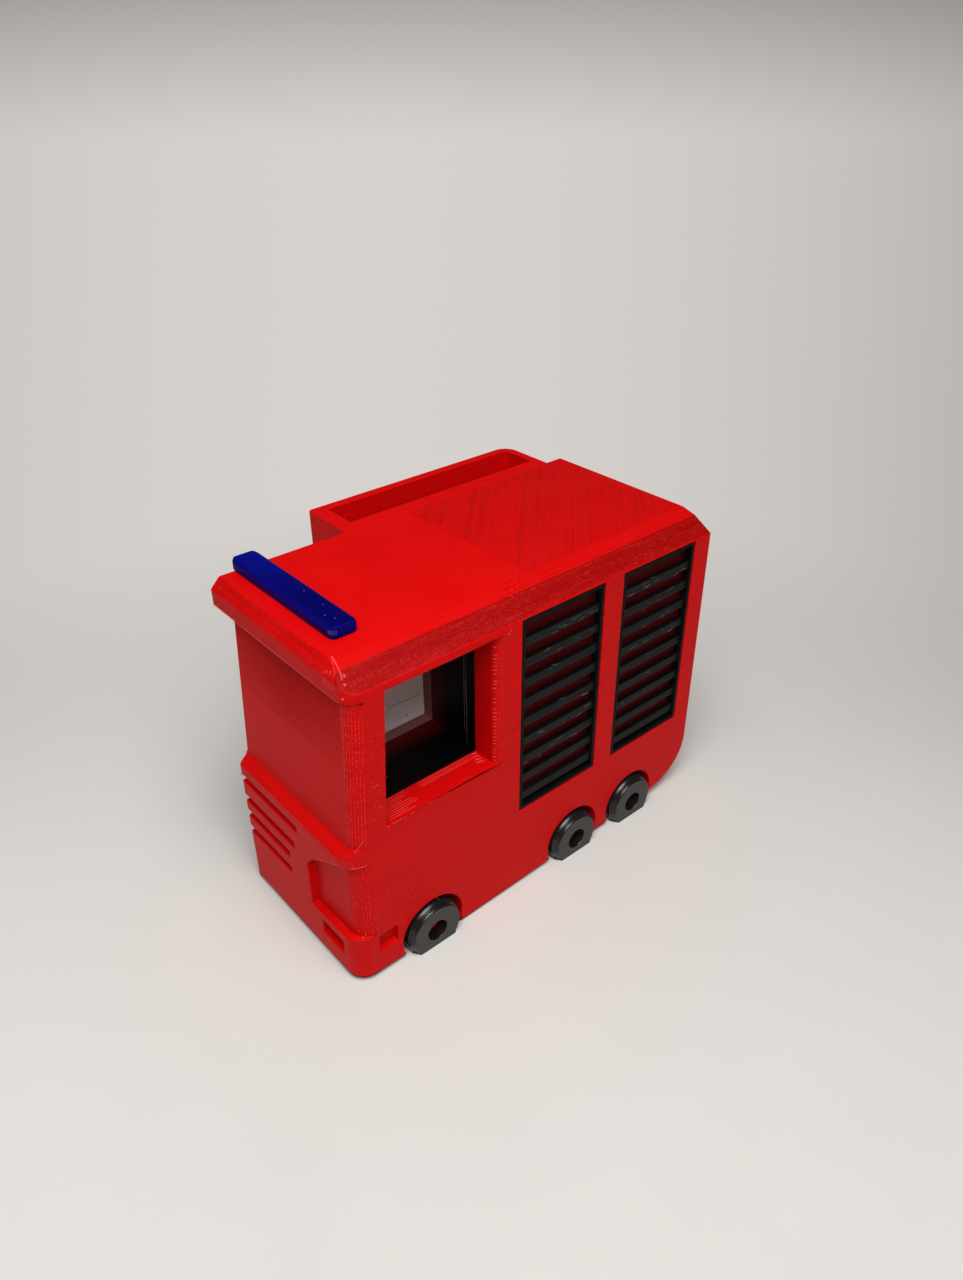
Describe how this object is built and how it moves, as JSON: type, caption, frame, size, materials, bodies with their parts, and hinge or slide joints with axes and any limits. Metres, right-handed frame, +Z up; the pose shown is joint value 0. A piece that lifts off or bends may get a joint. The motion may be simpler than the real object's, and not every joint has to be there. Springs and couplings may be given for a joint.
{
  "type": "toy fire truck",
  "caption": "3D-printed toy fire truck with a cab, louvred locker panels, a roof light bar, an open-topped side pocket and turning wheels on press-fitted axles",
  "frame": {"origin": "centre of the bounding box at the ground, under the wheels", "axes": "+X to the front of the truck, +Y to its left side, +Z up"},
  "size_m": [0.0816, 0.0522, 0.0626],
  "materials": {
    "red_print": "printed plastic with fine layer lines, satin",
    "black_print": "printed plastic with fine layer lines, satin",
    "wheel_print": "printed plastic, matte",
    "blue_print": "printed plastic, slightly translucent",
    "grey_plate": "smooth, matte"
  },
  "bodies": {
    "truck": {"body": "red_print", "side_pocket": "red_print", "light_bar": "blue_print", "louvre_front": "black_print", "louvre_rear": "black_print", "window_liner_left": "black_print", "window_spacer": "red_print", "window_plate": "grey_plate", "window_liner_right": "black_print"},
    "front_axle": {"axle_front": "red_print", "wheel_front_left": "wheel_print", "wheel_front_right": "wheel_print"},
    "middle_axle": {"axle_middle": "red_print", "wheel_middle_left": "wheel_print", "wheel_middle_right": "wheel_print"},
    "rear_axle": {"axle_rear": "red_print", "wheel_rear_left": "wheel_print", "wheel_rear_right": "wheel_print"}
  },
  "joints": [
    {"name": "front_axle_turn", "type": "hinge", "parent": "truck", "child": "front_axle", "pos_m": [0.0253, 0, 0.0033], "axis": [0, 1, 0], "continuous": true},
    {"name": "middle_axle_turn", "type": "hinge", "parent": "truck", "child": "middle_axle", "pos_m": [-0.00855, 0, 0.0033], "axis": [0, 1, 0], "continuous": true},
    {"name": "rear_axle_turn", "type": "hinge", "parent": "truck", "child": "rear_axle", "pos_m": [-0.02445, 0, 0.0033], "axis": [0, 1, 0], "continuous": true}
  ]
}
